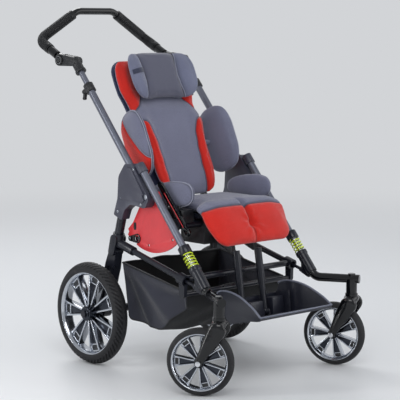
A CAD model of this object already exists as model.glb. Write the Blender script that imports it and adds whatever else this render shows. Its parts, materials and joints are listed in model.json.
"""Looks of a special needs buggy: upholstery, wheels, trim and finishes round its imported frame."""

import json
import logging
import math
from contextlib import contextmanager
from dataclasses import dataclass
from enum import Enum
from typing import Callable, Iterator, Sequence, Union

import bpy
import numpy as np
from mathutils import Matrix, Vector
from mathutils.bvhtree import BVHTree

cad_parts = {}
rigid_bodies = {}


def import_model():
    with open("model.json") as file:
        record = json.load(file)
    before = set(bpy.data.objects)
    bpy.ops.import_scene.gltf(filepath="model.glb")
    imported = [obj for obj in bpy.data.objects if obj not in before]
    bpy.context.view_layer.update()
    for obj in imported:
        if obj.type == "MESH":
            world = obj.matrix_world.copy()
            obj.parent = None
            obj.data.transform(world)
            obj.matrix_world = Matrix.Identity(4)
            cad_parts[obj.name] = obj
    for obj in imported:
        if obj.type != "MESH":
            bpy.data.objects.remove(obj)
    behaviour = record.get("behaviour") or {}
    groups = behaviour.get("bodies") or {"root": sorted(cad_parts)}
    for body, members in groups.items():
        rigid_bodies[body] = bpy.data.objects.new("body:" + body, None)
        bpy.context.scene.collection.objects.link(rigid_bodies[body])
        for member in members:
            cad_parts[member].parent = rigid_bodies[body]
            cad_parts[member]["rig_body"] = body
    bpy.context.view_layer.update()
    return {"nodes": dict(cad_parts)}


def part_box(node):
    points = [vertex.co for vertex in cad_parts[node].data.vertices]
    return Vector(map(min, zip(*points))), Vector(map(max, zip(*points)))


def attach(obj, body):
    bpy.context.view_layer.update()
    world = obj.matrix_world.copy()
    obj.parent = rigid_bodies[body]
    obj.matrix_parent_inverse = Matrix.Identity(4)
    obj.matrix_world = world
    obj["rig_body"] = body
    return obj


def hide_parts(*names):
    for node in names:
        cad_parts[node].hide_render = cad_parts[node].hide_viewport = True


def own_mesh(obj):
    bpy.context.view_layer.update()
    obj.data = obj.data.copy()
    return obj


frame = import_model()
LOG = logging.getLogger("buggy")
SIDES = {"left": 1, "right": -1}
Colour = tuple[float, float, float, float]
Pair = tuple[float, float]
Point = tuple[float, float, float]
Points = Sequence[Sequence[float]]
Piece = bpy.types.Object
Material = bpy.types.Material
Array = np.ndarray

# Shared values: sizes in metres, swivels in degrees
STUFFING_PRESSURE = 4.0
STUFFING_FRAMES = 20
FRAME_HALF = 0.221
HANDLE_HUB = (0.3328, 0.9136)
CHEST_HEIGHT = 0.168
CASTER_AT = (0.2746, -0.4213)
CASTER_SWIVEL = {"left": 23.2, "right": 33.3}


def rgb(code: str, gain: float = 1.0) -> Colour:
    """Turns a hex colour into the linear colour that shaders take.

    Args:
        code: Six hex digits.
        gain: A factor on the linear colour.

    Returns:
        Linear red, green, blue and alpha.
    """
    parts = [int(code[i : i + 2], 16) / 255 for i in (0, 2, 4)]
    linear = [p / 12.92 if p <= 0.04045 else ((p + 0.055) / 1.055) ** 2.4 for p in parts]
    return (linear[0] * gain, linear[1] * gain, linear[2] * gain, 1.0)


def math_node(operation: str, swapped: bool = False) -> Callable:
    """A method of Value that adds one Math node.

    Args:
        operation: What the node does.
        swapped: Whether the value comes after the other term.

    Returns:
        The method.
    """

    def method(value: "Value", *others: "Term") -> "Value":
        """Adds the node and hands back its result."""
        terms = (*others, value) if swapped else (value, *others)
        return value.graph.math(operation, *terms)

    return method


class Value:
    """A number in a shader: an output socket whose arithmetic adds Math nodes."""

    def __init__(self, graph: "Graph", socket: bpy.types.NodeSocket) -> None:
        """Holds the socket and the graph it belongs to."""
        self.graph = graph
        self.socket = socket

    __add__ = __radd__ = math_node("ADD")
    __rsub__ = math_node("SUBTRACT", swapped=True)
    __mul__ = __rmul__ = math_node("MULTIPLY")
    __pow__ = math_node("POWER")
    __abs__ = math_node("ABSOLUTE")
    sine = math_node("SINE")
    cosine = math_node("COSINE")

    def step(self, low: float, high: float) -> "Value":
        """Rises smoothly from 0 at low to 1 at high."""
        return self.graph.value(
            "ShaderNodeMapRange",
            {"interpolation_type": "SMOOTHSTEP"},
            {"Value": self, "From Min": low, "From Max": high},
        )


Term = Union[Value, int, float]


class Graph:
    """One material's nodes, with the few calls that its finish needs."""

    def __init__(self, name: str) -> None:
        """Starts an empty node tree under this material name."""
        self.material = bpy.data.materials.new(name)
        self.material.use_nodes = True
        self.tree = self.material.node_tree
        self.tree.nodes.clear()

    def node(self, kind: str, settings: dict | None = None, inputs: dict | None = None) -> bpy.types.Node:
        """Adds any node.

        Args:
            kind: The node's type.
            settings: Its properties, set first.
            inputs: Values or links by socket name or number.

        Returns:
            The node.
        """
        made = self.tree.nodes.new(kind)
        for key, value in (settings or {}).items():
            setattr(made, key, value)
        for key, value in (inputs or {}).items():
            if isinstance(value, Value):
                self.tree.links.new(value.socket, made.inputs[key])
            else:
                made.inputs[key].default_value = value
        return made

    def value(self, kind: str, settings: dict | None, inputs: dict, output: int | str = 0) -> Value:
        """Adds a node and hands back one of its outputs."""
        return Value(self, self.node(kind, settings, inputs).outputs[output])

    def math(self, operation: str, *terms: Term) -> Value:
        """Adds a Math node."""
        return self.value("ShaderNodeMath", {"operation": operation}, dict(enumerate(terms)))

    def place(self, scale: Point = (1, 1, 1), turn: Point = (0, 0, 0)) -> Value:
        """Object coordinates in metres, turned and scaled."""
        here = self.value("ShaderNodeTexCoord", None, {}, "Object")
        return self.value("ShaderNodeMapping", None, {"Vector": here, "Rotation": turn, "Scale": scale})

    def axes(self, vector: Value) -> tuple[Value, Value, Value]:
        """The three numbers of a vector."""
        parts = self.node("ShaderNodeSeparateXYZ", None, {0: vector})
        return tuple(Value(self, parts.outputs[i]) for i in range(3))

    def noise(self, scale: float, detail: float = 3, vector: Value | None = None) -> Value:
        """Soft noise from 0 to 1, in lumps of about 1 / scale metres."""
        inputs = {"Vector": vector or self.place(), "Scale": scale, "Detail": detail}
        return self.value("ShaderNodeTexNoise", None, inputs, "Fac")

    def cells(self, scale: float) -> Value:
        """Distance to the nearest of scattered points, as in a moulded grain."""
        return self.value("ShaderNodeTexVoronoi", None, {"Vector": self.place(), "Scale": scale}, "Distance")

    def attribute(self, name: str) -> Value:
        """A number kept on the piece's own points."""
        return self.value("ShaderNodeAttribute", {"attribute_name": name}, {}, "Fac")

    def mix(self, factor: Term, low: "Shade", high: "Shade") -> Value:
        """Blends two colours."""
        return self.value("ShaderNodeMix", {"data_type": "RGBA"}, {0: factor, 6: low, 7: high}, 2)

    def surface(
        self, colour: "Shade", roughness: Term, height: Value, depth: float, **constants: object
    ) -> Material:
        """Ends the tree in one shader.

        Args:
            colour: Base colour.
            roughness: Roughness.
            height: Relief from about 0 to 1.
            depth: What a relief of 1 stands for, in metres.
            constants: Other shader sockets, with spaces written as underscores.

        Returns:
            The finished material.
        """
        inputs: dict = {key.replace("_", " "): value for key, value in constants.items()}
        inputs |= {"Base Color": colour, "Roughness": roughness}
        inputs["Normal"] = self.value("ShaderNodeBump", None, {"Height": height, "Distance": depth})
        shader = self.value("ShaderNodeBsdfPrincipled", None, inputs)
        self.node("ShaderNodeOutputMaterial", None, {"Surface": shader})
        return self.material


Shade = Union[Value, Colour]


@dataclass(frozen=True)
class Finish:
    """A named surface. Each kind of surface shades itself."""

    name: str

    def material(self) -> Material:
        """The material, made on first use."""
        key = f"finish_{self.name}"
        return bpy.data.materials.get(key) or self.shade(Graph(key))

    def shade(self, graph: Graph) -> Material:
        """Builds the nodes."""
        raise NotImplementedError


@dataclass(frozen=True)
class Coat(Finish):
    """Powder coat or lacquer on metal: fine orange peel, faint mottling, handling marks in the gloss."""

    colour: str
    roughness: float = 0.4
    metallic: float = 0.0
    coat: float = 0.0
    peel: float = 0.00004
    gleam: float = 0.5

    def shade(self, graph: Graph) -> Material:
        """Builds the nodes."""
        mottle = graph.noise(26, 4)
        rub = graph.noise(9, 6).step(0.5, 0.72)
        colour = graph.mix(mottle, rgb(self.colour, 0.84), rgb(self.colour, 1.14))
        rough = self.roughness - 0.06 + mottle * 0.08 + rub * 0.07
        return graph.surface(
            colour, rough, graph.noise(1300, 2), self.peel,
            Metallic=self.metallic, Coat_Weight=self.coat, Coat_Roughness=0.08, Specular_IOR_Level=self.gleam,
        )


@dataclass(frozen=True)
class Moulding(Finish):
    """Moulded plastic with a fine leather-like grain and paler scuffs."""

    colour: str
    roughness: float = 0.5
    grain: float = 900
    depth: float = 0.00025
    scuff: float = 0.16

    def shade(self, graph: Graph) -> Material:
        """Builds the nodes."""
        streak = graph.noise(60, 5, graph.place((1, 0.12, 0.12), (0.4, 0.7, 0.2))).step(0.6, 0.76)
        cloud = graph.noise(14, 3)
        base = graph.mix(cloud, rgb(self.colour, 0.86), rgb(self.colour, 1.12))
        colour = graph.mix(streak * self.scuff, base, rgb("9a9ea6"))
        rough = self.roughness - 0.05 + cloud * 0.1 + streak * 0.1
        relief = graph.cells(self.grain) + graph.noise(self.grain * 0.4, 2) * 0.5
        return graph.surface(colour, rough, relief, self.depth)


@dataclass(frozen=True)
class Metal(Finish):
    """Bare or plated metal with fine turning lines and a little haze."""

    colour: str
    roughness: float = 0.18
    lines: float = 700
    depth: float = 0.00003

    def shade(self, graph: Graph) -> Material:
        """Builds the nodes."""
        haze = graph.noise(40, 5)
        line = graph.noise(self.lines, 2, graph.place((1, 0.08, 0.08)))
        colour = graph.mix(haze, rgb(self.colour, 0.82), rgb(self.colour, 1.1))
        rough = self.roughness - 0.05 + haze * 0.1 + line * 0.05
        return graph.surface(colour, rough, line, self.depth, Metallic=1.0)


@dataclass(frozen=True)
class Rubber(Finish):
    """Rubber with a matt bloom, dust on the worn faces and a fine pitted skin."""

    colour: str
    dust: str = "6b6760"
    dusting: float = 0.25
    roughness: float = 0.72

    def shade(self, graph: Graph) -> Material:
        """Builds the nodes."""
        bloom = graph.noise(22, 6)
        dust = graph.noise(120, 5).step(0.5, 0.8) * bloom.step(0.4, 0.7)
        base = graph.mix(bloom, rgb(self.colour, 0.8), rgb(self.colour, 1.25))
        colour = graph.mix(dust * self.dusting, base, rgb(self.dust))
        rough = self.roughness - 0.06 + bloom * 0.14
        return graph.surface(colour, rough, graph.noise(1500, 3), 0.0002, Specular_IOR_Level=0.35)


@dataclass(frozen=True)
class Upholstery(Finish):
    """Knitted cover cloth in two panel colours, split by the panel attribute and dark in its seams."""

    main: str
    second: str
    knit: float = 0.0014
    depth: float = 0.0004
    sheen: float = 0.35

    def shade(self, graph: Graph) -> Material:
        """Builds the nodes."""
        across = 2 * math.pi / self.knit
        x, y, z = graph.axes(graph.place((across, across, across), (0.35, 0.2, 0.6)))
        loops = x.sine() * y.cosine() + y.sine() * z.cosine() + z.sine() * x.cosine()
        fibre = graph.noise(900, 4)
        heather = graph.noise(260, 5)
        nap = graph.noise(16, 4)
        panel = graph.attribute("panel").step(-0.0005, 0.0005)
        seam = 1 - graph.attribute("seam").step(0.0004, 0.0052)
        first = graph.mix(heather * 0.6 + nap * 0.4, rgb(self.main, 0.66), rgb(self.main, 1.3))
        other = graph.mix(heather * 0.55 + nap * 0.45, rgb(self.second, 0.62), rgb(self.second, 1.32))
        cloth = graph.mix(panel, first, other)
        pitted = graph.mix(loops.step(-1.3, 0.1), rgb("0c0c0e"), cloth)
        woven = graph.mix(0.22, cloth, pitted)
        colour = graph.mix(seam * 0.55, woven, rgb("08080a"))
        relief = loops * 0.18 + fibre * 0.5
        return graph.surface(
            colour, 0.8 + nap * 0.12, relief, self.depth,
            Sheen_Weight=self.sheen, Sheen_Roughness=0.45, Specular_IOR_Level=0.25,
        )


@dataclass(frozen=True)
class Weave(Finish):
    """Plain woven webbing or bag cloth, threads along and across the piece's own UV map."""

    colour: str
    thread: float = 0.0011
    depth: float = 0.0003
    sheen: float = 0.25

    def shade(self, graph: Graph) -> Material:
        """Builds the nodes."""
        flat = graph.value("ShaderNodeUVMap", {"uv_map": "cut"}, {})
        u, v, _ = graph.axes(flat)
        turn = math.pi / self.thread
        warp, weft = (u * turn).sine(), (v * turn).sine()
        cross = warp * weft
        slub = graph.noise(380, 4)
        fade = graph.noise(11, 4)
        base = graph.mix(fade * 0.6 + slub * 0.4, rgb(self.colour, 0.62), rgb(self.colour, 1.45))
        colour = graph.mix(cross.step(-0.6, 0.8) * 0.3, base, rgb(self.colour, 0.45))
        relief = abs(cross) * 0.6 + slub * 0.4
        return graph.surface(colour, 0.72 + fade * 0.16, relief, self.depth, Sheen_Weight=self.sheen)


class Paint(Enum):
    """The buggy's finishes."""

    FRAME_GREY = Coat("frame_grey", "6a6d79", 0.33, 0.55, 0.0, 0.00001)
    FRAME_BLACK = Coat("frame_black", "1b1d26", 0.3, 0.1, 0.15, gleam=0.35)
    GLOSS_BLACK = Coat("gloss_black", "08090c", 0.1, 0.0, 0.25, 0.00002, 0.35)
    COVER = Moulding("cover", "3b3c4a", 0.4, 800, 0.0002)
    PLATE_RED = Coat("plate_red", "d63a40", 0.36, 0.0, 0.2)
    BRIGHT = Metal("bright", "e2e4e8", 0.12)
    SATIN = Metal("satin", "a4a8b0", 0.28)
    CHROME = Metal("chrome", "c3c7ce", 0.11, 500)
    DARK_PANEL = Metal("dark_panel", "3d4047", 0.2, 500)
    WINDOW = Coat("window", "0f1013", 0.3, 0.0, 0.5)
    SPRING = Coat("spring", "c9dc1c", 0.3, 0.0, 0.4)
    TYRE = Rubber("tyre", "1b1b1e", dusting=0.22, roughness=0.6)
    GRIP = Rubber("grip", "141518", "4a4a4c", 0.1, 0.4)
    BLACK_PLASTIC = Moulding("black_plastic", "16181c", 0.4, 1000)
    TRAY = Moulding("tray", "21232e", 0.34, 700, 0.0002)
    TRAY_EDGE = Moulding("tray_edge", "6a6e7d", 0.3, 900, 0.0001)
    SHELL = Moulding("shell", "39405a", 0.38, 900, 0.00018)
    COVER_CLOTH = Upholstery("cover_cloth", "73758a", "d0271d")
    HEAD_CLOTH = Upholstery("head_cloth", "5c5d6d", "70748b")
    BAG = Weave("bag", "282a37")
    BAG_FLOOR = Weave("bag_floor", "0d0e12", sheen=0.05)
    TAPE = Moulding("tape", "15161b", 0.6, 1400, 0.0002)
    WEBBING = Weave("webbing", "232944", 0.0016, 0.0005)
    PIPING = Upholstery("piping", "9496a8", "9496a8", 0.0016, 0.0003)
    DARK_PIPING = Upholstery("dark_piping", "53556a", "53556a", 0.0016, 0.0003)

    def material(self) -> Material:
        """The finish's material."""
        return self.value.material()


def alone(*pieces: Piece) -> Piece:
    """Selects these objects and nothing else.

    Args:
        pieces: What to select; the first becomes active.

    Returns:
        The active object.
    """
    bpy.ops.object.select_all(action="DESELECT")
    for piece in pieces:
        piece.select_set(True)
    bpy.context.view_layer.objects.active = pieces[0]
    return pieces[0]


@contextmanager
def editing(piece: Piece) -> Iterator[None]:
    """Opens a piece's mesh for edits with all of it selected, and closes it again."""
    alone(piece)
    bpy.ops.object.mode_set(mode="EDIT")
    bpy.ops.mesh.select_all(action="SELECT")
    yield
    bpy.ops.object.mode_set(mode="OBJECT")


def smooth(piece: Piece, sharp: float | None = None) -> Piece:
    """Shades a piece smooth, up to the edges sharper than an angle in degrees if one is given."""
    alone(piece)
    if sharp is None:
        bpy.ops.object.shade_smooth()
    else:
        bpy.ops.object.shade_smooth_by_angle(angle=math.radians(sharp))
    return piece


def added(name: str, data: bpy.types.ID) -> Piece:
    """Puts a new object with this data in the scene, selected alone."""
    piece = bpy.data.objects.new(name, data)
    bpy.context.scene.collection.objects.link(piece)
    return alone(piece)


def sheet_of(name: str, points: Sequence, faces: Sequence, edges: Sequence = ()) -> Piece:
    """Makes a mesh object from drawn points, faces and loose edges, placed by its points."""
    mesh = bpy.data.meshes.new(name)
    mesh.from_pydata([tuple(p) for p in points], list(edges), [tuple(f) for f in faces])
    return added(name, mesh)


def grid_faces(rows: int, count: int, loop: bool = False) -> list[tuple[int, int, int, int]]:
    """Faces between rows of points.

    Args:
        rows: How many rows there are.
        count: How many points each row has.
        loop: Whether a row's last point joins its first.

    Returns:
        The faces.
    """
    return [
        (i * count + j, i * count + k, (i + 1) * count + k, (i + 1) * count + j)
        for i in range(rows - 1)
        for j in range(count if loop else count - 1)
        for k in [(j + 1) % count]
    ]


def places(piece: Piece) -> Array:
    """The piece's points, one row each."""
    flat = np.empty(len(piece.data.vertices) * 3)
    piece.data.vertices.foreach_get("co", flat)
    return flat.reshape(-1, 3)


def move_to(piece: Piece, points: Array) -> None:
    """Puts the piece's points where they are given."""
    piece.data.vertices.foreach_set("co", np.asarray(points, float).ravel())
    piece.data.update()


def facing(piece: Piece) -> Array:
    """The direction that each point's surface faces."""
    flat = np.empty(len(piece.data.vertices) * 3)
    piece.data.vertex_normals.foreach_get("vector", flat)
    return flat.reshape(-1, 3)


def tag(piece: Piece, name: str, values: Array) -> None:
    """Keeps one number a point under this name, for the finish to read."""
    kept = piece.data.attributes.get(name) or piece.data.attributes.new(name, "FLOAT", "POINT")
    kept.data.foreach_set("value", np.asarray(values, np.float32))


def apply(piece: Piece, kind: str, **settings: object) -> Piece:
    """Adds a modifier with these settings and applies it."""
    alone(piece)
    modifier = piece.modifiers.new(kind.lower(), kind)
    for key, value in settings.items():
        setattr(modifier, key, value)
    bpy.ops.object.modifier_apply(modifier=modifier.name)
    return piece


def subdivide(piece: Piece) -> Piece:
    """One round of Catmull-Clark subdivision, applied."""
    return apply(piece, "SUBSURF", levels=1, render_levels=1)


def close_up(piece: Piece, distance: float = 1e-5) -> Piece:
    """Merges doubled points and turns all faces outwards."""
    with editing(piece):
        bpy.ops.mesh.remove_doubles(threshold=distance)
        bpy.ops.mesh.normals_make_consistent(inside=False)
    return piece


def round_off(piece: Piece, width: float, angle: float = 35) -> Piece:
    """Bevels the edges sharper than angle and shades the rest smooth.

    Args:
        piece: The piece to finish.
        width: Bevel width in metres.
        angle: Least angle between two faces that counts as an edge, in degrees.

    Returns:
        The same piece.
    """
    limit = math.radians(angle)
    apply(piece, "BEVEL", width=width, segments=2, limit_method="ANGLE", angle_limit=limit)
    return smooth(piece, angle)


def settle(piece: Piece, matrix: Matrix) -> Piece:
    """Moves the piece by a matrix and applies it, so its place is in its mesh."""
    piece.matrix_world = matrix
    alone(piece)
    bpy.ops.object.transform_apply(location=True, rotation=True, scale=True)
    return piece


def join(name: str, *pieces: Piece) -> Piece:
    """Joins several objects into the first, under a new name."""
    alone(*pieces)
    bpy.ops.object.join()
    pieces[0].name = name
    return pieces[0]


def paint(piece: Piece, finish: Paint) -> Piece:
    """Gives the whole piece one finish."""
    piece.data.materials.clear()
    piece.data.materials.append(finish.material())
    return piece


def fit(piece: Piece, body: str, slot: str, *nodes: str) -> Piece:
    """Sets a finished piece on its body, in place of CAD nodes if any, and reports it."""
    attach(piece, body)
    if nodes:
        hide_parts(*nodes)
    LOG.info("%s rides on %s, %d faces", piece.name, body, len(piece.data.polygons))
    return piece


def body_with(node: str) -> str:
    """The body that a CAD node belongs to."""
    return frame["nodes"][node]["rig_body"]


def copy_node(node: str, name: str) -> Piece:
    """A merged copy of a CAD node's mesh, free to be worked on."""
    piece = added(name, frame["nodes"][node].data.copy())
    piece.data.materials.clear()
    bpy.ops.mesh.customdata_custom_splitnormals_clear()
    with editing(piece):
        bpy.ops.mesh.remove_doubles(threshold=2e-6)
    return piece


def loft(name: str, rings: Sequence[Array]) -> Piece:
    """Skins rings of equal count, capped at both ends.

    Args:
        name: The new object's name.
        rings: Rings of points, each in the same order.

    Returns:
        The object, faces outwards.
    """
    count = len(rings[0])
    faces = grid_faces(len(rings), count, loop=True)
    last = (len(rings) - 1) * count
    faces += [tuple(range(count))[::-1], tuple(range(last, last + count))]
    return close_up(sheet_of(name, np.concatenate(rings), faces), 1e-7)


def tube(name: str, points: Points, radius: float, loop: bool = False) -> Piece:
    """A round cord through points, as a capped mesh.

    Args:
        name: The new object's name.
        points: Places along its middle, in metres.
        radius: Its radius in metres.
        loop: Whether it closes on itself.

    Returns:
        The mesh object.
    """
    curve = bpy.data.curves.new(name, "CURVE")
    curve.dimensions = "3D"
    curve.bevel_depth = radius
    curve.bevel_resolution = 3
    curve.use_fill_caps = not loop
    spline = curve.splines.new("POLY")
    spline.points.add(len(points) - 1)
    for place, point in zip(spline.points, points):
        place.co = (*point, 1)
    spline.use_cyclic_u = loop
    piece = added(name, curve)
    bpy.ops.object.convert(target="MESH")
    return smooth(close_up(piece))


def piping(name: str, points: Points, radius: float, finish: Paint, loop: bool = False) -> Piece:
    """A thin cloth cord sewn along points, clear of the panel and seam shading of its cloth.

    Args:
        name: The new object's name.
        points: Places along its middle, in metres.
        radius: Its radius in metres.
        finish: Its finish.
        loop: Whether it closes on itself.

    Returns:
        The cord.
    """
    piece = tube(name, points, radius, loop)
    for key, value in (("panel", -1.0), ("seam", 1.0)):
        tag(piece, key, np.full(len(piece.data.vertices), value))
    return paint(piece, finish)


def edged(piece: Piece, width: float) -> Piece:
    """Joins flat neighbours of a copied node into whole faces and bevels its edges."""
    with editing(piece):
        bpy.ops.mesh.dissolve_limited(angle_limit=math.radians(0.6))
    return round_off(piece, width, 32)


def turned(name: str, profile: Sequence[Pair], steps: int = 96) -> Piece:
    """Spins a closed outline of (along the axle, radius) points round the X axis.

    Args:
        name: The new object's name.
        profile: The outline in metres.
        steps: Faces round the turn.

    Returns:
        The closed ring, faces outwards.
    """
    count = len(profile)
    edges = [(i, (i + 1) % count) for i in range(count)]
    piece = sheet_of(name, [(a, 0, r) for a, r in profile], (), edges)
    with editing(piece):
        bpy.ops.mesh.spin(steps=steps, angle=2 * math.pi, center=(0, 0, 0), axis=(1, 0, 0))
    return close_up(piece, 1e-6)


def block(name: str, corners: Points, width: float) -> Piece:
    """A cube pulled to eight corners and bevelled.

    Args:
        name: The new object's name.
        corners: Places for the cube's corners, in the order of (x, y, z) signs from low to high.
        width: Bevel width in metres, or 0 for sharp edges.

    Returns:
        The piece.
    """
    bpy.ops.object.select_all(action="DESELECT")
    bpy.ops.mesh.primitive_cube_add(size=2)
    piece = bpy.context.active_object
    piece.name = name
    order = [4 * (x > 0) + 2 * (y > 0) + (z > 0) for x, y, z in places(piece)]
    move_to(piece, np.array([corners[k] for k in order]))
    close_up(piece)
    return round_off(piece, width) if width else piece


def stuff(piece: Piece, voxel: float, cap: float = 0.005) -> Piece:
    """Remeshes a pad evenly and blows it up as sewn cloth, with a cap on how far a point moves.

    Args:
        piece: A closed form, a little smaller than the pad.
        voxel: Size of the new faces in metres.
        cap: Most that a point moves, in metres.

    Returns:
        The same piece, stuffed, with no modifier left.
    """
    alone(piece)
    piece.data.remesh_voxel_size = voxel
    bpy.ops.object.voxel_remesh()
    start = places(piece)
    cloth = piece.modifiers.new("stuffing", "CLOTH")
    cloth.settings.use_pressure = True
    cloth.settings.uniform_pressure_force = STUFFING_PRESSURE
    cloth.settings.effector_weights.gravity = 0
    cloth.point_cache.frame_end = STUFFING_FRAMES
    for step in range(1, STUFFING_FRAMES + 1):
        bpy.context.scene.frame_set(step)
    bpy.ops.object.modifier_apply(modifier=cloth.name)
    bpy.context.scene.frame_set(1)
    shift = places(piece) - start
    far = np.linalg.norm(shift, axis=1, keepdims=True)
    move_to(piece, start + shift * np.minimum(1, cap / np.maximum(far, 1e-9)))
    return apply(piece, "SMOOTH", factor=0.5, iterations=3)


def rise(low: float, high: float, x: Array) -> Array:
    """Rises smoothly from 0 at low to 1 at high."""
    t = np.clip((np.asarray(x, float) - low) / (high - low), 0, 1)
    return t * t * (3 - 2 * t)


def bump(x: Array, centre: float, width: float) -> Array:
    """A soft bump of height 1."""
    return np.exp(-(((np.asarray(x, float) - centre) / width) ** 2))


def power(v: Array, p: float) -> Array:
    """A power that keeps the sign."""
    return np.sign(v) * np.abs(v) ** p


def round_turn(count: int) -> Array:
    """Angles evenly round a full turn."""
    return np.linspace(0, 2 * math.pi, count, endpoint=False)


def run_along(points: Array) -> Array:
    """How far along a drawn line each of its points lies."""
    return np.concatenate([[0], np.cumsum(np.linalg.norm(np.diff(points, axis=0), axis=1))])


def resample(points: Array, at: Array) -> Array:
    """Points at these distances along a drawn line."""
    run = run_along(points)
    return np.stack([np.interp(at, run, line) for line in points.T], axis=1)


def to_line(points: Array, line: Array) -> Array:
    """Least distance from flat points to a drawn line.

    Args:
        points: Points, one row of two numbers each.
        line: The line's points in order.

    Returns:
        One distance a point.
    """
    best = np.full(len(points), 1e9)
    for a, b in zip(line[:-1], line[1:]):
        along = b - a
        t = np.clip(((points - a) @ along) / max(along @ along, 1e-12), 0, 1)
        best = np.minimum(best, np.linalg.norm(points - a - t[:, None] * along, axis=1))
    return best


def within(points: Array, outline: Array) -> Array:
    """Whether flat points lie inside a closed outline."""
    inside = np.zeros(len(points), bool)
    for (x0, y0), (x1, y1) in zip(outline, np.roll(outline, -1, axis=0)):
        crosses = (y0 > points[:, 1]) != (y1 > points[:, 1])
        where = x0 + (points[:, 1] - y0) * (x1 - x0) / (y1 - y0 if y1 != y0 else 1e-12)
        inside ^= crosses & (points[:, 0] < where)
    return inside


def curve_through(points: Points, count: int) -> Array:
    """Evenly spaced points on a smooth curve through the given ones.

    Args:
        points: The points to pass, in two or three numbers each.
        count: How many points to return.

    Returns:
        The curve's points.
    """
    drawn = np.asarray(points, float)
    ends = np.vstack([2 * drawn[0] - drawn[1], drawn, 2 * drawn[-1] - drawn[-2]])
    t = np.linspace(0, 1, 12)[:-1, None]
    fine = [drawn[-1:]]
    for i in range(len(drawn) - 2, -1, -1):
        a, b, c, d = ends[i : i + 4]
        bend, twist = 2 * a - 5 * b + 4 * c - d, 3 * b - a - 3 * c + d
        fine.insert(0, 0.5 * (2 * b + (c - a) * t + bend * t**2 + twist * t**3))
    whole = np.vstack(fine)
    return resample(whole, np.linspace(0, run_along(whole)[-1], count))


def cast(piece: Piece, starts: Array, ways: Array, lift: float) -> Array:
    """Lays points on a piece from outside.

    Args:
        piece: The piece to lay them on.
        starts: Where each ray starts, outside the piece.
        ways: Where each ray goes.
        lift: How far the points stand off the surface, in metres.

    Returns:
        The points that met the piece.
    """
    tree = BVHTree.FromObject(piece, bpy.context.evaluated_depsgraph_get())
    met = []
    for start, way in zip(starts, ways):
        hit, normal, _, _ = tree.ray_cast(Vector(start), Vector(way))
        if hit is not None:
            met.append(np.array(hit + normal * lift))
    return np.array(met)


@dataclass(frozen=True)
class BackPlane:
    """The reclined plane of the back: x across, s up the slope, n out towards the occupant."""

    foot: Pair = (-0.015, 0.508)
    slope: float = math.radians(24)

    def out(self, x: Array, s: Array, n: Array) -> Array:
        """Points of the row frame from places on the back."""
        x, s, n = np.broadcast_arrays(*(np.asarray(v, float) for v in (x, s, n)))
        y = self.foot[0] + s * math.sin(self.slope) - n * math.cos(self.slope)
        z = self.foot[1] + s * math.cos(self.slope) + n * math.sin(self.slope)
        return np.stack([x, y, z], axis=-1)

    def into(self, points: Array) -> tuple[Array, Array, Array]:
        """Places on the back of points in the row frame."""
        y, z = points[:, 1] - self.foot[0], points[:, 2] - self.foot[1]
        s = y * math.sin(self.slope) + z * math.cos(self.slope)
        n = z * math.sin(self.slope) - y * math.cos(self.slope)
        return points[:, 0], s, n

    @property
    def front(self) -> Array:
        """The direction out of the back's front face."""
        return np.array([0, -math.cos(self.slope), math.sin(self.slope)])

    @property
    def up(self) -> Array:
        """The direction up the slope."""
        return np.array([0, math.sin(self.slope), math.cos(self.slope)])


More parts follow.
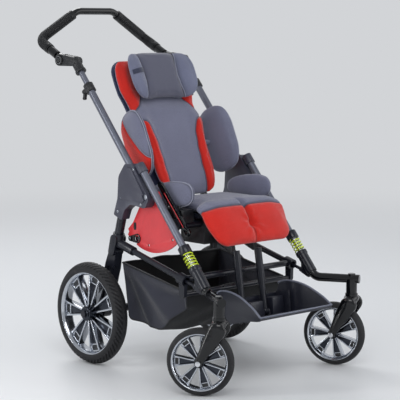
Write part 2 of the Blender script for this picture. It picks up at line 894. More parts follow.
@dataclass
class BackCushion:
    """The contoured back: grey centre and shoulders, red side strips and red panels behind the head."""

    plane: BackPlane = BackPlane()
    length: float = 0.456
    waist: float = 0.120
    shoulder: float = 0.134
    head: float = 0.152
    thickness: float = 0.040
    bolster: float = 0.024
    recess: float = 0.016
    seam_deep: float = 0.0042
    seam_wide: float = 0.0042
    pucker: float = 0.0008
    cord: float = 0.0014
    slot_low: float = 0.364
    slot_high: float = 0.446
    slot_half: float = 0.010
    strip: tuple = (
        (0.073, -0.03), (0.074, 0.03), (0.077, 0.12), (0.082, 0.178),
        (0.090, 0.214), (0.105, 0.241), (0.15, 0.257),
    )
    wing: tuple = (
        (0.16, 0.264), (0.130, 0.276), (0.108, 0.291), (0.092, 0.308),
        (0.081, 0.328), (0.075, 0.36), (0.074, 0.49),
    )

    def half_width(self, s: Array) -> Array:
        """Half the cushion's width at a height."""
        part = np.asarray(s, float) / self.length
        wide = self.waist + (self.shoulder - self.waist) * rise(0.34, 0.56, part)
        return wide + (self.head - self.shoulder) * rise(0.62, 0.8, part) - 0.010 * (1 - rise(0, 0.2, part))

    def form(self) -> Piece:
        """The unstuffed form, a little slimmer than the cushion."""
        angle = round_turn(72)
        half = self.thickness / 2
        rings = []
        for k in range(61):
            part = 0.5 - 0.5 * math.cos(math.pi * k / 60)
            ends = max(0.02, 1 - abs(2 * part - 1) ** 9) ** 0.5
            wide = float(self.half_width(part * self.length))
            across = (wide - 0.002) * power(np.cos(angle), 0.55) * (0.72 + 0.28 * ends)
            side = rise(0.5, 0.95, np.abs(across) / wide)
            lift = self.bolster * side * (1 - rise(0.5, 0.66, part))
            face = np.sin(angle) > 0
            sunk = self.recess * (1 - side) * rise(0.6, 0.7, part) * face * ends * np.abs(np.sin(angle))
            height = (half - 0.003) * power(np.sin(angle), 0.6) * ends - sunk + lift
            rings.append(self.plane.out(across, part * self.length, height - half))
        return loft("back_cushion_cover", rings)

    def build(self) -> None:
        """Models, stuffs, seams and dresses the back cushion and its piping."""
        piece = subdivide(stuff(self.form(), 0.0055))
        x, s, n = self.plane.into(places(piece))
        flat = np.stack([np.abs(x), s], axis=1)
        strip = curve_through(self.strip, 60)
        wing = curve_through(self.wing, 60)
        front = rise(0.05, 0.5, facing(piece) @ self.plane.front)
        seam = np.minimum(to_line(flat, strip), to_line(flat, wing))
        slot = rise(0.003, -0.003, np.abs(x) - self.slot_half)
        slot = slot * rise(-0.003, 0.003, s - self.slot_low) * rise(0.003, -0.003, s - self.slot_high)
        dent = self.seam_deep * bump(seam, 0, self.seam_wide) * front
        pucker = self.pucker * np.sin(s / 0.0085) * bump(seam, 0, 0.016) * front
        floor = np.where((slot > 0) & (front > 0), slot * np.maximum(0, n + 0.036), 0)
        n = np.maximum(n - dent + pucker - floor, -self.thickness)
        move_to(piece, self.plane.out(x, s, n))
        red_strip = within(flat, np.vstack([strip, [[0.3, strip[-1, 1]], [0.3, -0.03]]]))
        red_wing = within(flat, np.vstack([wing, [[0.3, 0.49], [0.3, wing[0, 1]]]]))
        signed = np.where(red_strip | red_wing, seam, -seam)
        tag(piece, "panel", np.minimum(signed, (facing(piece) @ self.plane.front + 0.12) * 0.01))
        tag(piece, "seam", np.where(front > 0.02, seam, 1))
        smooth(paint(piece, Paint.COVER_CLOTH))
        fit(piece, "back", "seat_grey", "back_cushion")
        for name, line in (("strip", strip), ("wing", wing)):
            for side, sign in SIDES.items():
                starts = self.plane.out(sign * line[:, 0], line[:, 1], 0.2)
                laid = cast(piece, starts, np.tile(-self.plane.front, (len(line), 1)), 0.0002)
                cord = piping(f"back_{name}_piping_{side}", laid, self.cord, Paint.DARK_PIPING)
                fit(cord, "back", "seat_grey")


@dataclass
class SeatCushion:
    """The seat: a grey top that rolls over the knee into a red waterfall front with a tufted channel."""

    rear: float = -0.029
    knee: Pair = (-0.211, 0.493)
    thickness: float = 0.038
    slope: float = math.radians(61)
    roll: float = 0.034
    front_length: float = 0.104
    half: float = 0.136
    front_half: float = 0.168
    seam_at: float = 0.62
    seam_deep: float = 0.0038
    seam_wide: float = 0.0042
    channel_deep: float = 0.015
    channel_wide: float = 0.0085
    notch_deep: float = 0.010
    notch_wide: float = 0.006
    tuft_deep: float = 0.012
    tuft_wide: float = 0.015
    cord: float = 0.0013

    @property
    def level(self) -> float:
        """Length of the level top."""
        return self.rear - self.knee[0]

    @property
    def arc(self) -> float:
        """Length of the roll over the knee."""
        return self.roll * self.slope

    @property
    def total(self) -> float:
        """Length from the rear over the knee to the front's foot."""
        return self.level + self.arc + self.front_length

    @property
    def tuft(self) -> float:
        """Where the tuft sits along that length."""
        return self.level + self.arc + self.front_length * 0.42

    def out(self, x: Array, s: Array, h: Array) -> Array:
        """Points of the row frame from places across, along and above the cushion's middle."""
        x, s, h = np.broadcast_arrays(*(np.asarray(v, float) for v in (x, s, h)))
        turn = np.clip((s - self.level) / self.arc, 0, 1) * self.slope
        past = np.maximum(0, s - self.level - self.arc)
        flat = np.minimum(s, self.level)
        y = self.rear - flat - self.roll * np.sin(turn) - past * math.cos(self.slope) - h * np.sin(turn)
        z = self.knee[1] + self.roll * (np.cos(turn) - 1) - past * math.sin(self.slope) + h * np.cos(turn)
        return np.stack([x, y, z], axis=-1)

    def into(self, points: Array) -> tuple[Array, Array, Array]:
        """Places across, along and above the middle of points in the row frame."""
        y, z = points[:, 1], points[:, 2]
        down, out = self.knee[1] - self.roll, self.knee[0]
        turn = np.arctan2(out - y, z - down)
        reach = np.hypot(out - y, z - down)
        beyond = turn > self.slope
        before = y > out
        cos, sin = math.cos(self.slope), math.sin(self.slope)
        along = (out - y) * cos - (z - down) * sin
        high = (out - y) * sin + (z - down) * cos - self.roll
        front = np.where(beyond, self.level + self.arc + along, self.level + self.roll * turn)
        s = np.where(before, self.rear - y, front)
        h = np.where(before, z - self.knee[1], np.where(beyond, high, reach - self.roll))
        return points[:, 0], s, h

    def form(self) -> Piece:
        """The unstuffed form, a little slimmer than the cushion."""
        angle = round_turn(72)
        half = self.thickness / 2
        rings = []
        for k in range(61):
            s = self.total * (0.5 - 0.5 * math.cos(math.pi * k / 60))
            ends = max(0.02, 1 - abs(2 * s / self.total - 1) ** 14) ** 0.5
            spread = float(rise(self.level - 0.034, self.level + 0.006, s))
            wide = self.half + (self.front_half - self.half) * spread
            wide -= 0.014 * float(rise(self.total - self.front_length, self.total, s)) + 0.002
            wide -= 0.024 * max(0.0, (s - self.total + 0.045) / 0.045) ** 3
            across = wide * power(np.cos(angle), 0.5) * (0.9 + 0.1 * ends)
            height = (half - 0.003) * power(np.sin(angle), 0.62) * ends
            rings.append(self.out(across, s, height))
        return loft("seat_cushion_cover", rings)

    def build(self) -> None:
        """Models, stuffs, seams and dresses the seat cushion and its seam piping."""
        piece = subdivide(stuff(self.form(), 0.0055))
        x, s, h = self.into(places(piece))
        top = rise(-0.004, 0.008, h)
        edge = self.level + self.arc * self.seam_at
        seam = np.abs(s - edge)
        gully = rise(edge - 0.045, edge + 0.004, s)
        gully = gully * (1 - 0.72 * rise(self.tuft - 0.012, self.tuft + 0.014, s))
        dent = self.seam_deep * bump(seam, 0, self.seam_wide)
        dent = dent + self.channel_deep * gully * bump(x, 0, self.channel_wide)
        dent = dent + self.notch_deep * bump(s, edge - 0.006, 0.016) * bump(x, 0, self.notch_wide)
        dent = dent + self.tuft_deep * bump(np.hypot(x, (s - self.tuft) * 1.1), 0, self.tuft_wide)
        pull = np.hypot(x, s - self.tuft)
        turn = np.arctan2(s - self.tuft, x)
        dent = dent + 0.0014 * np.cos(turn * 7) * bump(pull, 0.028, 0.016)
        swell = 0.004 * bump(np.abs(x), 0.085, 0.05) * bump(s, self.tuft - 0.005, 0.04)
        h = np.maximum(h - (dent - swell) * top, -self.thickness / 2)
        move_to(piece, self.out(x, s, h))
        tag(piece, "panel", (s - edge) + 0.2 * np.minimum(0, h + 0.011))
        line = np.where(s > edge - 0.03, np.abs(x), 1) + np.where(h > 0, 0, 1)
        tag(piece, "seam", np.minimum(seam + np.where(h > -0.006, 0, 1), line + 0.001))
        smooth(paint(piece, Paint.COVER_CLOTH))
        fit(piece, "seat", "seat_red", "seat_cushion")
        across = np.linspace(-self.front_half + 0.012, self.front_half - 0.012, 90)
        starts = self.out(across, edge, 0.12)
        ways = np.tile(self.out(0, edge, 0) - self.out(0, edge, 1), (len(across), 1))
        laid = cast(piece, starts, ways, 0.0002)
        fit(piping("seat_seam_piping", laid, self.cord, Paint.DARK_PIPING), "seat", "seat_grey")


@dataclass
class SidePad:
    """One pair of crowned pads with a piped edge: the hip pads or the chest pads."""

    name: str
    body: str
    node: str
    length: float
    width: float
    thickness: float
    squareness: float
    place: Callable[[int], Matrix]
    edge: float = 0.003
    wedge: float = 0.0
    drawn: float = 0.02
    split: tuple = ()
    red_corners: tuple = ()
    seam_deep: float = 0.004
    seam_wide: float = 0.0045
    cord: float = 0.0014
    panel_cord: float = 0.0012

    def outline(self, count: int) -> Array:
        """The pad's flat outline, deeper towards its low end where it is a wedge."""
        a = round_turn(count)
        pull = 1 - self.drawn * np.cos(2 * a) ** 2
        u = power(np.cos(a), 2 / self.squareness)
        v = power(np.sin(a), 2 / self.squareness)
        high = v * pull * (1 - self.wedge * u) - self.wedge * u
        return np.stack([self.length / 2 * u * pull, self.width / 2 * high], axis=1)

    def form(self, name: str) -> Piece:
        """The unstuffed form, a little slimmer than the pad."""
        flat = self.outline(64)
        rings = []
        for k in range(-9, 10):
            level = math.sin(math.radians(88 * k / 9))
            spread = (1 - abs(level) ** 2.2) ** 0.42
            height = np.full((len(flat), 1), (self.thickness / 2 - 0.003) * level)
            rings.append(np.hstack([flat * spread * 0.98, height]))
        return loft(name, rings)

    def sew(self, piece: Piece) -> None:
        """Draws in the piped edge and the panel seam, and marks the panels.

        Args:
            piece: The stuffed pad, still flat at the origin.
        """
        points = places(piece)
        rim = np.abs(points[:, 2] - self.edge)
        out = rise(0.55, 0.9, np.hypot(points[:, 0] / self.length * 2, points[:, 1] / self.width * 2))
        points[:, :2] *= 1 - 0.012 * (bump(rim, 0, 0.004) * out)[:, None]
        wrinkle = np.sin(points[:, 0] / 0.011 + 2 * np.sin(points[:, 1] / 0.05)) * 0.0006 * out
        points[:, 2] += wrinkle * np.sign(points[:, 2])
        seam = rim + (1 - out) * 0.02
        panel = np.full(len(points), -1.0)
        if self.split:
            line = curve_through(self.split, 60)
            near = to_line(points[:, :2], line)
            outer = points[:, 2] - self.edge
            red = within(points[:, :2], np.vstack([line, self.red_corners]))
            panel = np.minimum(np.where(red, near, -near), outer)
            seam = np.minimum(seam, np.where(outer > 0, near, 1))
            points[:, 2] -= self.seam_deep * bump(near, 0, self.seam_wide) * rise(0, 0.006, outer)
        move_to(piece, points)
        tag(piece, "panel", panel)
        tag(piece, "seam", seam)

    def cords(self, piece: Piece, side: str) -> list[Piece]:
        """Piping round the edge, and along the panel seam if there is one.

        Args:
            piece: The sewn pad, still flat at the origin.
            side: Which of the pair it is.

        Returns:
            The cords.
        """
        ring = self.outline(140)
        starts = np.column_stack([ring * 1.5, np.full(len(ring), self.edge)])
        laid = cast(piece, starts, np.column_stack([-ring, np.zeros(len(ring))]), 0.0004)
        made = [piping(f"{self.name}_piping_{side}", laid, self.cord, Paint.PIPING, loop=True)]
        if self.split:
            line = curve_through(self.split, 90)
            line = line[within(line, self.outline(90) * 0.97)]
            starts = np.column_stack([line, np.full(len(line), 0.1)])
            laid = cast(piece, starts, np.tile([0, 0, -1], (len(line), 1)), 0.0003)
            made.append(piping(f"{self.name}_panel_piping_{side}", laid, self.panel_cord, Paint.PIPING))
        return made

    def build(self) -> None:
        """Models, stuffs and dresses both pads and their piping."""
        for side, sign in SIDES.items():
            piece = subdivide(stuff(self.form(f"{self.name}_{side}"), 0.005))
            self.sew(piece)
            cords = self.cords(piece, side)
            for item in (piece, *cords):
                smooth(close_up(settle(item, self.place(sign))))
            fit(paint(piece, Paint.COVER_CLOTH), self.body, "seat_grey", self.node)
            for cord in cords:
                fit(cord, self.body, "seat_grey")


def chest_place(sign: int) -> Matrix:
    """Where a chest pad stands: length down the slope, width to the rear, thickness outwards.

    Args:
        sign: 1 on the occupant's left, -1 on the right.

    Returns:
        The pad's matrix.
    """
    plane, splay = BackPlane(), math.radians(9)
    across, stand_off = 0.168, 0.010
    up, ahead = Vector(plane.up), Vector(plane.front)
    out = Vector((sign * math.cos(splay), 0, 0)) - ahead * math.sin(splay)
    along = Vector((-sign * math.sin(splay), 0, 0)) - ahead * math.cos(splay)
    middle = Vector(plane.out(sign * across, CHEST_HEIGHT, stand_off))
    turn = Matrix((-up, along, out)).transposed()
    return Matrix.Translation(middle) @ turn.to_4x4()


def chest_sleeves() -> None:
    """Cloth sleeves over the arms that carry the chest pads, between the cushion and the pads."""
    plane, radius, depth = BackPlane(), 0.0086, -0.018
    across = np.linspace(0.1275, 0.1555, 8)
    for side, sign in SIDES.items():
        line = plane.out(sign * across, CHEST_HEIGHT, depth)
        fit(piping(f"chest_sleeve_{side}", line, radius, Paint.COVER_CLOTH), "back", "seat_grey")


def hip_place(sign: int) -> Matrix:
    """Where a hip pad stands: length to the rear, width upwards, thickness outwards.

    Args:
        sign: 1 on the occupant's left, -1 on the right.

    Returns:
        The pad's matrix.
    """
    across, middle, height = 0.157, -0.101, 0.528
    turn = Matrix(((0, 1, 0), (0, 0, 1), (sign, 0, 0))).transposed()
    return Matrix.Translation((sign * across, middle, height)) @ turn.to_4x4()


@dataclass
class Headrest:
    """The winged headrest: a broad centre, two wings turned forward, pinched creases and a strap."""

    plane: BackPlane = BackPlane()
    half: float = 0.132
    crease: float = 0.068
    half_height: float = 0.085
    half_thick: float = 0.017
    middle: float = 0.386
    stand_off: float = 0.006
    wing: float = 0.030
    crease_deep: float = 0.0060
    crease_wide: float = 0.0048
    bow: float = 0.010
    cord: float = 0.0013
    strap_rows: int = 36
    strap_lines: int = 7

    def fold(self, x: Array) -> Array:
        """How far forward the pad stands at a place across it."""
        return self.stand_off + self.wing * rise(self.crease - 0.014, self.half + 0.010, np.abs(x))

    def form(self) -> Piece:
        """The unstuffed form."""
        angle = round_turn(64)
        rings = []
        for k in range(61):
            x = -self.half * 0.985 * math.cos(math.pi * k / 60)
            part = abs(x) / self.half
            ends = max(0.02, 1 - part**6) ** 0.5
            lobe = max(0.02, 1 - part**4.6) ** 0.4
            pinch = 1 - 0.34 * float(bump(abs(x), self.crease, 0.010))
            short = 0.90 + 0.10 * float(rise(0.25, 0.62, part))
            up = (self.half_height - 0.002) * power(np.cos(angle), 0.7) * lobe
            up = np.where(np.cos(angle) < 0, up * short, up)
            out = (self.half_thick - 0.002) * power(np.sin(angle), 0.7) * ends * pinch
            rings.append(self.plane.out(np.full(64, x), self.middle + up, self.fold(x) + out))
        return loft("headrest_cover", rings)

    def build(self) -> None:
        """Models, stuffs, creases and dresses the headrest, its piping and its strap."""
        piece = subdivide(stuff(self.form(), 0.0048))
        x, s, n = self.plane.into(places(piece))
        seam = np.abs(np.abs(x) - self.crease - self.bow * ((s - self.middle) / self.half_height) ** 2)
        out = np.sign(n - self.fold(x))
        high = rise(0.7, 1, np.abs(s - self.middle) / self.half_height)
        n = n - out * self.crease_deep * bump(seam, 0, self.crease_wide) * (1 - 0.6 * high)
        s = self.middle + (s - self.middle) * (1 - 0.035 * bump(seam, 0, 0.010))
        n = n + out * 0.0007 * np.sin(s / 0.007) * bump(seam, 0, 0.014)
        move_to(piece, self.plane.out(x, s, n))
        wing = np.abs(x) > self.crease + self.bow * ((s - self.middle) / self.half_height) ** 2
        tag(piece, "panel", np.where(wing, seam, -seam))
        tag(piece, "seam", seam)
        smooth(paint(piece, Paint.HEAD_CLOTH))
        fit(piece, "headrest", "seat_grey", "headrest_pad")
        for side, sign in SIDES.items():
            turn = round_turn(120)
            up = np.cos(turn)
            edge = sign * (self.crease + self.bow * up**2)
            near = self.plane.out(edge, self.middle, self.fold(edge))
            starts = self.plane.out(edge, self.middle + 0.17 * up, self.fold(edge) + 0.14 * np.sin(turn))
            laid = cast(piece, starts, near + (up * 0.058)[:, None] * self.plane.up - starts, 0.0003)
            cord = piping(f"headrest_piping_{side}", laid, self.cord, Paint.PIPING, loop=True)
            fit(cord, "headrest", "seat_grey")
        self.strap(piece)

    def strap(self, pad: Piece) -> None:
        """A woven band across the occupant's right wing, laid on the pad.

        Args:
            pad: The finished headrest pad.
        """
        count, wide = self.strap_rows, self.strap_lines
        lines = np.linspace(-0.0075, 0.0075, wide)
        rows = []
        for k in range(count):
            part = k / (count - 1)
            x = -0.076 - 0.052 * part
            s = self.middle + 0.014 - 0.010 * part
            starts = self.plane.out(np.full(wide, x), s + lines, 0.2)
            rows.append(cast(pad, starts, np.tile(-self.plane.front, (wide, 1)), 0.0006))
        band = sheet_of("headrest_strap", np.concatenate(rows), grid_faces(count, wide))
        uv = band.data.uv_layers.new(name="cut")
        for loop in band.data.loops:
            row, line = divmod(loop.vertex_index, wide)
            uv.data[loop.index].uv = (row * 0.0017, line * 0.0025)
        close_up(band, 1e-7)
        smooth(apply(band, "SOLIDIFY", thickness=0.0012, offset=1), 40)
        fit(paint(band, Paint.WEBBING), "headrest", "black_plastic")


@dataclass
class Basket:
    """The cloth basket under the seat: an open sack whose side panels hang in folds fanned from the rear."""

    half: float = 0.2025
    profile: tuple = ((-0.205, 0.256), (-0.199, 0.212), (-0.075, 0.121), (0.058, 0.136), (0.074, 0.309))
    corner: float = 0.014
    rows: int = 84
    drop: int = 20
    span: int = 44
    wall: float = 0.0016
    fine_fold: float = 0.065
    broad_fold: float = 0.085
    slack: float = 0.003
    sag: float = 0.011
    hem_r: float = 0.0032
    binding_r: float = 0.0019
    sides: float = 0.36
    seams: float = 1.04

    def path(self) -> Array:
        """Points down the front, along the floor and up the rear, from the side, with round corners."""
        drawn = np.array(self.profile)
        run = run_along(drawn)
        at = np.linspace(0, run[-1], 600)
        reach = int(self.corner / run[-1] * 600)
        ease = np.ones(2 * reach + 1) / (2 * reach + 1)
        lines = []
        for k in range(2):
            line = np.pad(np.interp(at, run, drawn[:, k]), reach, mode="reflect", reflect_type="odd")
            lines.append(np.convolve(line, ease, "valid"))
        share = np.linspace(0, 1, self.rows)
        return np.stack([np.interp(share, at / run[-1], line) for line in lines], axis=1)

    def hem(self, y: float) -> float:
        """Height of the open edge."""
        (y0, z0), (y1, z1) = self.profile[0], self.profile[-1]
        return float(np.interp(y, [y0, y1], [z0, z1]))

    def folds(self, y: float, z: Array, depth: Array, sign: int) -> Array:
        """How far a side panel stands out where its cloth hangs in folds.

        Args:
            y: Place along the buggy.
            z: Heights.
            depth: Shares of the way down the panel.
            sign: Which side.

        Returns:
            Shifts outwards in metres.
        """
        top = self.profile[-1]
        ahead, down = top[0] - y, top[1] + 0.02 - z
        lean = np.arctan2(ahead, np.maximum(down, 1e-4)) + 0.06 * sign
        far = np.minimum(np.hypot(ahead, down), 0.2)
        ridge = np.abs((lean / 0.21) % 2 - 1)
        broad = np.abs((lean / 0.47 + 0.3) % 2 - 1)
        fan = self.fine_fold * far * (power(ridge, 1.5) - 1) + self.broad_fold * far * (broad - 1)
        slack = self.slack * bump(depth, 0.62, 0.35) * bump(y, -0.10, 0.07)
        return (fan * rise(0.02, 0.35, depth) + slack) * rise(0.0, 0.03, y - self.profile[0][0] + 0.004)

    def section(self, y: float, low: float) -> Array:
        """One cut across the sack: down the left panel, over the floor and up the right panel."""
        depth = np.linspace(0, 1, self.drop + 1)
        z = self.hem(y) + (low - self.hem(y)) * depth
        walls = {s: self.half + self.folds(y, z, depth, s) - 0.004 * depth**4 for s in (1, -1)}
        left = np.column_stack([walls[1], np.full(len(z), y), z])
        right = np.column_stack([-walls[-1], np.full(len(z), y), z])[::-1]
        share = np.linspace(0, 1, self.span + 1)[1:-1]
        across = left[-1, 0] + (right[0, 0] - left[-1, 0]) * share
        sag = self.sag * np.sin(math.pi * share) ** 0.7 * rise(0.01, 0.08, self.hem(y) - low)
        ripple = 0.0022 * np.sin(across / 0.023 + y / 0.02) * np.sin(math.pi * share)
        floor = np.column_stack([across, np.full(len(across), y) + ripple, low - sag + ripple])
        return np.vstack([left, floor, right])

    def sack(self) -> tuple[Piece, Array]:
        """The sewn sheet, with its weave laid out on it.

        Returns:
            The sheet without its thickness, and its drawn points by row.
        """
        rows = np.array([self.section(y, z) for y, z in self.path()])
        count = rows.shape[1]
        piece = sheet_of("basket_sack", rows.reshape(-1, 3), grid_faces(self.rows, count))
        for finish in (Paint.BAG, Paint.BAG_FLOOR):
            piece.data.materials.append(finish.material())
        for face in piece.data.polygons:
            face.material_index = int(self.drop <= face.index % (count - 1) < self.drop + self.span)
        close_up(piece)
        apply(piece, "SMOOTH", factor=0.5, iterations=1)
        uv = piece.data.uv_layers.new(name="cut")
        points = places(piece)
        for face in piece.data.polygons:
            lean = np.abs(np.array(face.normal))
            u, v = ((1, 2), (0, 2), (0, 1))[int(np.argmax(lean))]
            for loop_index in face.loop_indices:
                point = points[piece.data.loops[loop_index].vertex_index]
                uv.data[loop_index].uv = (point[u], point[v])
        return piece, rows

    def build(self) -> None:
        """Sews the sack, binds its edges and dresses it."""
        piece, rows = self.sack()
        apply(piece, "SOLIDIFY", thickness=self.wall, offset=-1)
        smooth(subdivide(piece))
        floor = slice(self.drop, self.drop + self.span + 1)
        rim = np.vstack([rows[0, floor], rows[1:, -1], rows[-1, floor][::-1], rows[-2:0:-1, 0]])
        trim = [tube("basket_hem", rim, self.hem_r, True)]
        for side, place in (("left", self.drop), ("right", self.drop + self.span)):
            trim.append(tube(f"basket_binding_{side}", rows[2:-2, place], self.binding_r))
        fit(piece, "chassis", "basket_cloth", "basket")
        for item in trim:
            fit(paint(item, Paint.TAPE), "chassis", "basket_cloth")
        for item in (piece, *trim):
            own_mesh(item)


class Tread(Enum):
    """How a tyre's running face is cut."""

    SMOOTH = 0
    CHEVRON = 60


@dataclass
class Wheel:
    """A spoked wheel: tyre with tread, rim ring, hub, and paired spoke blades with a window at the rim."""

    name: str
    body: str
    matrix: Matrix
    tyre_d: float
    tyre_w: float
    rim_d: float
    rim_w: float
    hub_d: float
    hub_w: float
    bore: float
    tread: Tread
    spokes: int = 7
    barrel: float = 0.009
    groove: float = 0.0030

    def tyre(self) -> Piece:
        """Spins the tyre, cuts its tread and rings its sidewalls."""
        r = self.tyre_w / 2
        ring = self.tyre_d / 2 - r
        end = math.acos((self.rim_d / 2 - 0.0005 - ring) / r)
        angles = np.linspace(-end, end, 47)
        profile = [(r * math.sin(a), ring + r * math.cos(a)) for a in angles]
        inner = self.rim_d / 2 - 0.0005
        profile += [(x, inner) for x in np.linspace(profile[-1][0], profile[0][0], 6)[1:-1]]
        steps = 600 if self.tread is Tread.CHEVRON else 240
        piece = turned(f"{self.name}_tread", profile, steps)
        points = places(piece)
        far = np.hypot(points[:, 1], points[:, 2])
        turn = np.arctan2(points[:, 2], points[:, 1])
        lean = np.arctan2(points[:, 0], far - ring)
        tilt = np.abs(np.degrees(lean))
        skin = np.hypot(points[:, 0], far - ring) > r * 0.97
        cut = 0.0007 * (bump(tilt, 8, 2.2) + bump(tilt, 70, 3)) - 0.0006 * bump(tilt, 92, 4)
        if self.tread is Tread.CHEVRON:
            phase = (turn / (2 * math.pi) * self.tread.value + tilt / 34) % 1
            groove = rise(0.36, 0.28, phase) * rise(0.0, 0.06, phase)
            cut = cut + self.groove * groove * rise(12, 18, tilt) * rise(70, 60, tilt)
        cut = np.where(skin, cut, 0)
        far = far - cut * np.cos(lean)
        points[:, 0] -= cut * np.sin(lean)
        points[:, 1], points[:, 2] = far * np.cos(turn), far * np.sin(turn)
        move_to(piece, points)
        return paint(settle(smooth(piece, 50), self.matrix), Paint.TYRE)

    def rim(self) -> Piece:
        """Spins the rim ring and hub, and models one spoke that is copied round."""
        rim_r, half = self.rim_d / 2, self.rim_w / 2
        inner = rim_r - self.barrel
        lip = 0.0016
        side = [
            (half, rim_r - 0.0008), (half + lip, rim_r - 0.0002), (half + lip, rim_r - 0.003),
            (half - 0.0005, inner + 0.0042), (half - 0.005, inner + 0.0006), (half - 0.008, inner),
        ]
        ring = turned("rim_ring", side + [(-a, r) for a, r in reversed(side)], 144)
        hub_r, end, bore = self.hub_d / 2, self.hub_w / 2, self.bore / 2 + 0.0001
        face = [
            (end, bore), (end, hub_r * 0.5), (end - 0.0025, hub_r * 0.56), (end - 0.0025, hub_r * 0.8),
            (end - 0.001, hub_r * 0.86), (end - 0.004, hub_r), (half * 0.62, hub_r),
        ]
        hub = turned("rim_hub", face + [(-a, r) for a, r in reversed(face)], 72)
        for part in (ring, hub):
            round_off(part, 0.0005, 28)
        parts = [paint(ring, Paint.CHROME), paint(hub, Paint.DARK_PANEL)]
        for k in range(self.spokes):
            turn = Matrix.Rotation(2 * math.pi * k / self.spokes, 4, "X")
            for part in self.spoke(hub_r, inner):
                parts.append(settle(part, turn))
        return settle(join(f"{self.name}_spider", *parts), self.matrix)

    def spoke(self, hub_r: float, inner: float) -> list[Piece]:
        """One spoke along +Y: two bright blades, a dark panel between them and a framed window.

        Args:
            hub_r: Radius of the hub.
            inner: Radius of the rim's inner face.

        Returns:
            The spoke's parts.
        """
        rim_r = self.rim_d / 2
        foot, tip, edge = hub_r * 0.36, rim_r * 0.2, rim_r * 0.045
        deep, crown = self.rim_w * 0.31, self.rim_w * 0.37
        start, stop = hub_r - 0.003, inner + 0.002
        window, bar = stop - inner * 0.2, stop - inner * 0.05
        panel = self.rim_w * 0.13

        def spread(y: float) -> float:
            """Half the room between the blades at a radius."""
            return foot + (tip - foot) * (y - start) / (stop - start) - edge * 0.5

        def plate(name: str, low: float, high: float, thick: float, finish: Paint) -> Piece:
            """A plate between the blades, from one radius to another."""
            corners = [(x * thick, y, z * spread(y)) for x in (-1, 1) for y in (low, high) for z in (-1, 1)]
            return paint(block(name, corners, 0.0005), finish)

        parts = []
        for sign in (-1, 1):
            corners = []
            for x in (-1, 1):
                for y, at, wide, reach in ((start, foot, edge * 0.9, crown), (stop, tip, edge, deep)):
                    low, high = sorted((sign * at, sign * (at - wide)))
                    corners += [(x * reach, y, low), (x * reach, y, high)]
            parts.append(paint(block("spoke_blade", corners, 0.0009), Paint.CHROME))
            low, high = sorted((sign * spread(window), sign * (spread(window) - edge * 0.9)))
            ends = (window - 0.001, stop)
            corners = [(x * panel * 1.5, y, z) for x in (-1, 1) for y in ends for z in (low, high)]
            parts.append(paint(block("spoke_frame", corners, 0.0005), Paint.CHROME))
        parts.append(plate("spoke_panel", start, window, panel, Paint.DARK_PANEL))
        parts.append(plate("spoke_sill", window - edge * 0.4, window + edge * 0.3, panel * 1.5, Paint.CHROME))
        parts.append(plate("spoke_head", bar, stop, panel * 1.5, Paint.CHROME))
        parts.append(plate("spoke_window", window, bar, panel * 0.4, Paint.WINDOW))
        return parts

    def build(self) -> None:
        """Models and dresses the wheel's tyre and rim."""
        kind, side = self.name.rsplit("_", 1)
        fit(self.tyre(), self.body, "tyre_rubber", f"{kind}_tyre_{side}")
        fit(self.rim(), self.body, "rim_metal", f"{kind}_rim_{side}")


@dataclass
class SpringCoils:
    """The yellow springs over the front pillars of the sloped side frames, with closed ends."""

    half: float = FRAME_HALF
    start: Pair = (-0.032, 0.553)
    slope: float = math.radians(49.7)
    foot: float = -0.315
    length: float = 0.047
    offset: float = 0.035
    mean_d: float = 0.030
    wire: float = 0.0038
    curls: int = 4
    dead: float = 0.25
    travel: float = 0.008

    @property
    def along(self) -> Vector:
        """The direction up the slope."""
        return Vector((0, math.cos(self.slope), math.sin(self.slope)))

    def at(self, s: float) -> Pair:
        """Row frame y and z of a place up the slope, on the springs' line."""
        cos, sin = math.cos(self.slope), math.sin(self.slope)
        return self.start[0] + s * cos - self.offset * sin, self.start[1] + s * sin + self.offset * cos

    def build(self) -> None:
        """Winds and dresses both springs."""
        turns = self.curls + 2 * self.dead
        part = np.linspace(0, turns, 260)
        closed = self.wire * 0.55
        low, high = self.wire * 0.5, self.length - self.wire * 0.5
        stops = [0, self.dead, turns - self.dead, turns]
        rising = np.interp(part, stops, [low, low + closed, high - closed, high])
        turn = Matrix.Rotation(self.slope - math.pi / 2, 4, "X")
        radius = self.mean_d / 2
        for side, sign in SIDES.items():
            circle = 2 * math.pi * part * sign
            points = np.column_stack([radius * np.cos(circle), radius * np.sin(circle), rising])
            piece = tube(f"front_coil_{side}", points, self.wire / 2)
            settle(piece, Matrix.Translation((sign * self.half, *self.at(self.foot))) @ turn)
            fit(paint(piece, Paint.SPRING), "chassis", "spring_yellow", f"spring_{side}")
            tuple(self.along)
            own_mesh(piece)


